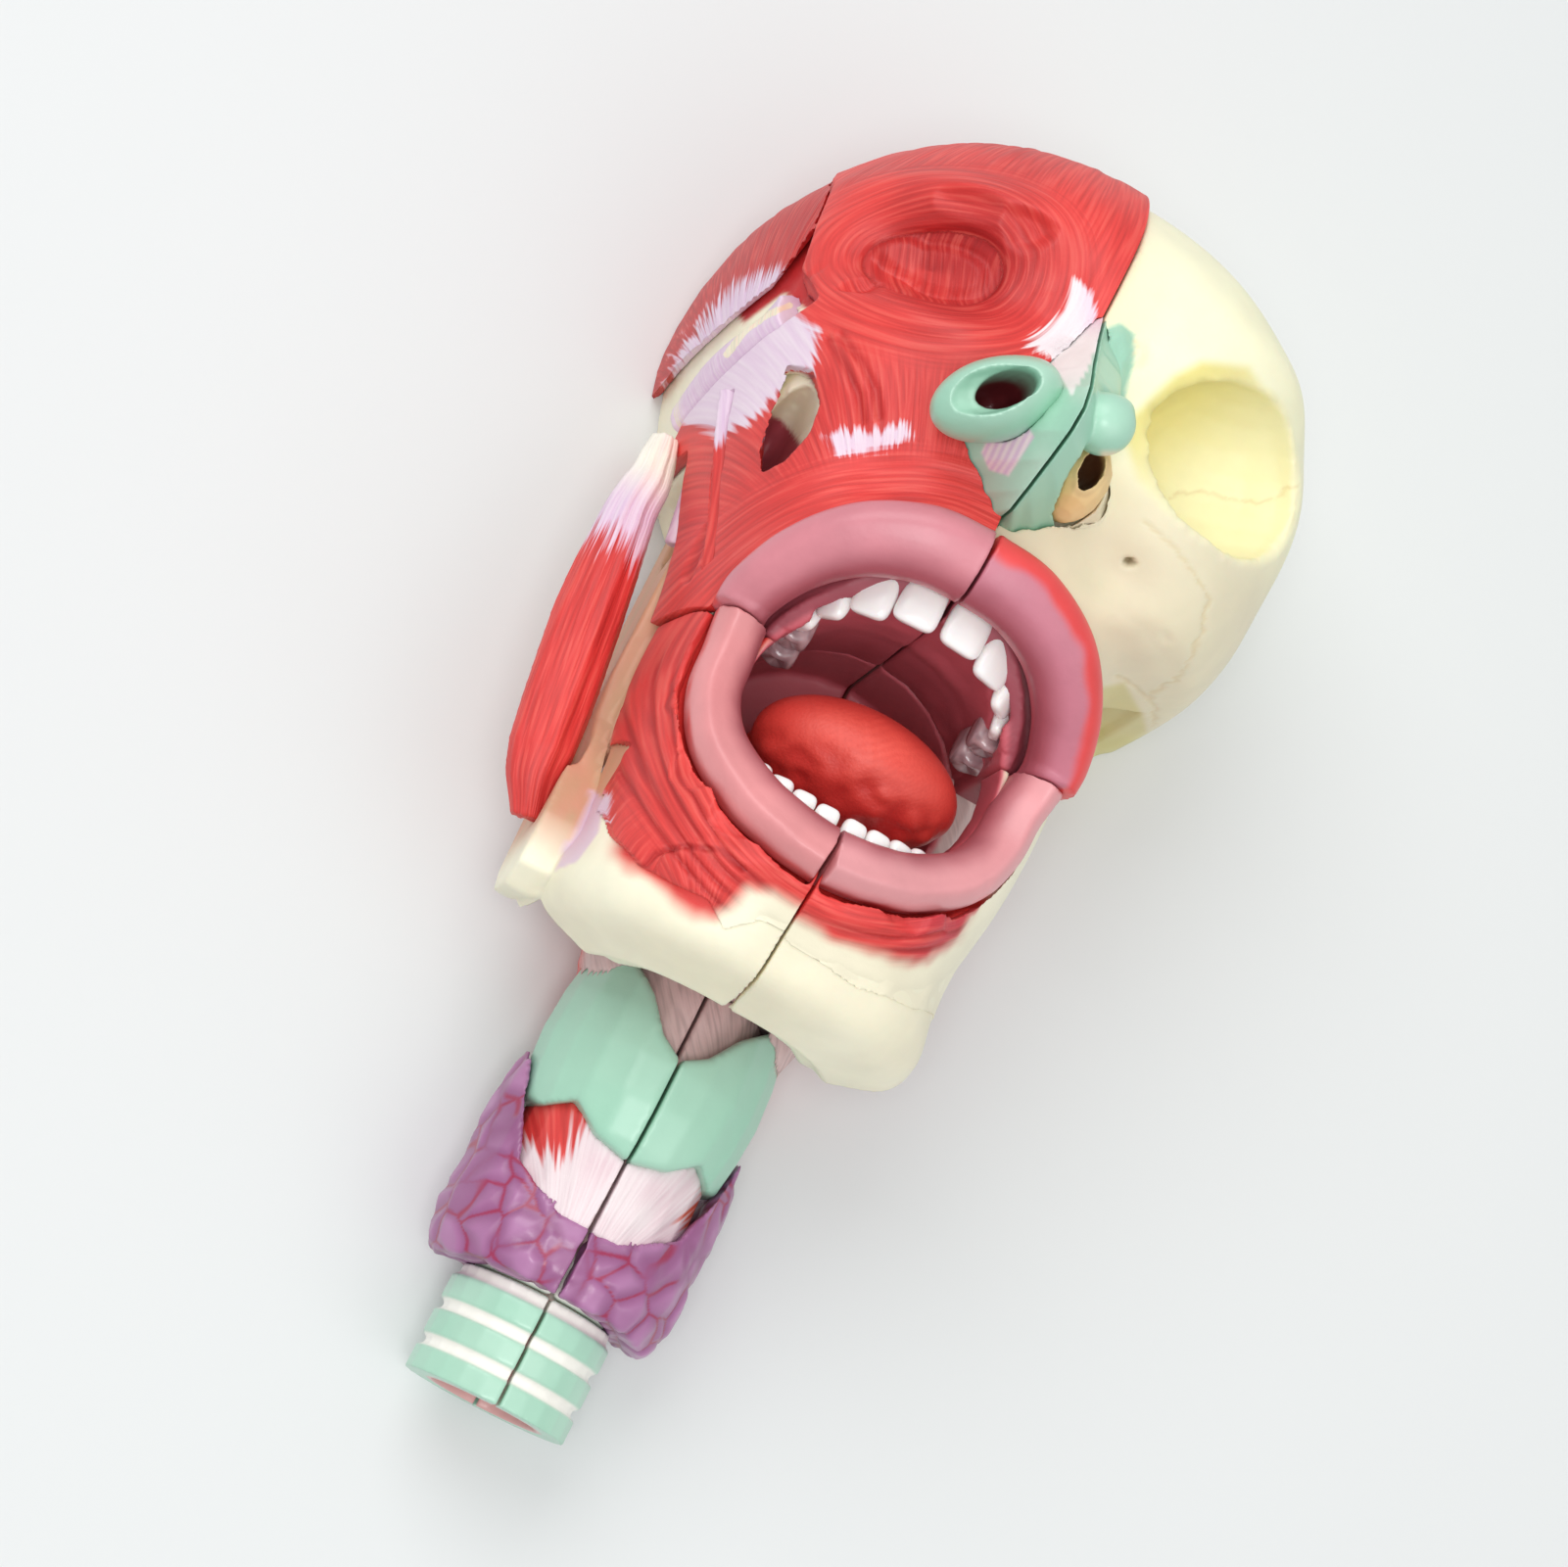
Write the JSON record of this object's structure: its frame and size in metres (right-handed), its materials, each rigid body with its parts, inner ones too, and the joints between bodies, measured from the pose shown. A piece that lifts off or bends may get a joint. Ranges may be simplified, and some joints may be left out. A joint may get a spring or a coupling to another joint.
{
  "type": "anatomical throat model",
  "caption": "Life-size face, mouth, jaw, tongue and larynx on a flat back, cut at the median plane, with removable jaw halves and tongue.",
  "frame": {"origin": "centre of the footprint, on the flat back that lies on the table", "axes": "+X to the subject's left, +Y up the body towards the crown, +Z from the flat back towards the face"},
  "size_m": [0.1561, 0.328, 0.1491],
  "materials": {
    "bone": "satin cast plastic, pale cream",
    "muscle": "painted plastic, coral red with fine fibre ridges",
    "tendon": "painted plastic, white to lavender",
    "cartilage": "painted plastic, mint green",
    "nostril": "painted plastic, ochre",
    "lip": "painted plastic, dusty pink",
    "tooth": "glossy white",
    "membrane": "painted plastic, pinkish grey, maroon inside the mouth",
    "ligament": "painted plastic, pink fading to white",
    "gland": "painted plastic, purple",
    "tongue": "painted plastic, orange red",
    "pin": "plain steel dowel"
  },
  "bodies": {
    "right_half": {"right_skull": "bone", "right_face_muscles": "muscle", "right_temple_muscle": "muscle", "right_cheek_arch": "bone", "right_cheek_strap": "muscle", "right_nose_bridge": "tendon", "right_alar_cartilage": "cartilage", "right_cheek_wall": "muscle", "right_upper_lip": "lip", "right_upper_teeth": "tooth", "right_pharynx_wall": "membrane", "right_larynx_core": "membrane", "right_thyroid_cartilage": "cartilage", "right_cricothyroid_muscle": "ligament", "right_thyroid_gland": "gland", "right_trachea": "cartilage", "crown_pin": "pin", "palate_pin": "pin", "throat_pin": "pin", "right_jaw_pin": "pin", "tongue_peg": "pin"},
    "left_half": {"left_skull": "bone", "left_nose_cartilage": "cartilage", "left_nostril_rim": "nostril", "left_cheek_wall": "muscle", "left_upper_lip": "lip", "left_upper_teeth": "tooth", "left_pharynx_wall": "membrane", "left_larynx_core": "membrane", "left_thyroid_cartilage": "cartilage", "left_cricothyroid_muscle": "ligament", "left_thyroid_gland": "gland", "left_trachea": "cartilage", "left_jaw_pin": "pin"},
    "right_jaw": {"right_mandible": "bone", "right_lower_lip": "lip", "right_lower_teeth": "tooth", "right_chin_muscle": "muscle", "right_masseter": "muscle", "right_coronoid_tendon": "tendon"},
    "left_jaw": {"left_mandible": "bone", "left_lower_lip": "lip", "left_lower_teeth": "tooth", "left_chin_muscle": "muscle"},
    "tongue": {"tongue": "tongue"}
  },
  "joints": [
    {"name": "left_half_pull", "type": "slide", "parent": "right_half", "child": "left_half", "axis": [1, 0, 0], "range_m": [0, 0.06]},
    {"name": "right_jaw_pull", "type": "slide", "parent": "right_half", "child": "right_jaw", "axis": [0, -1, 0], "range_m": [0, 0.225]},
    {"name": "left_jaw_pull", "type": "slide", "parent": "left_half", "child": "left_jaw", "axis": [0, -1, 0], "range_m": [0, 0.18]},
    {"name": "tongue_lift", "type": "slide", "parent": "right_half", "child": "tongue", "axis": [0, 0, 1], "range_m": [0, 0.13]}
  ]
}
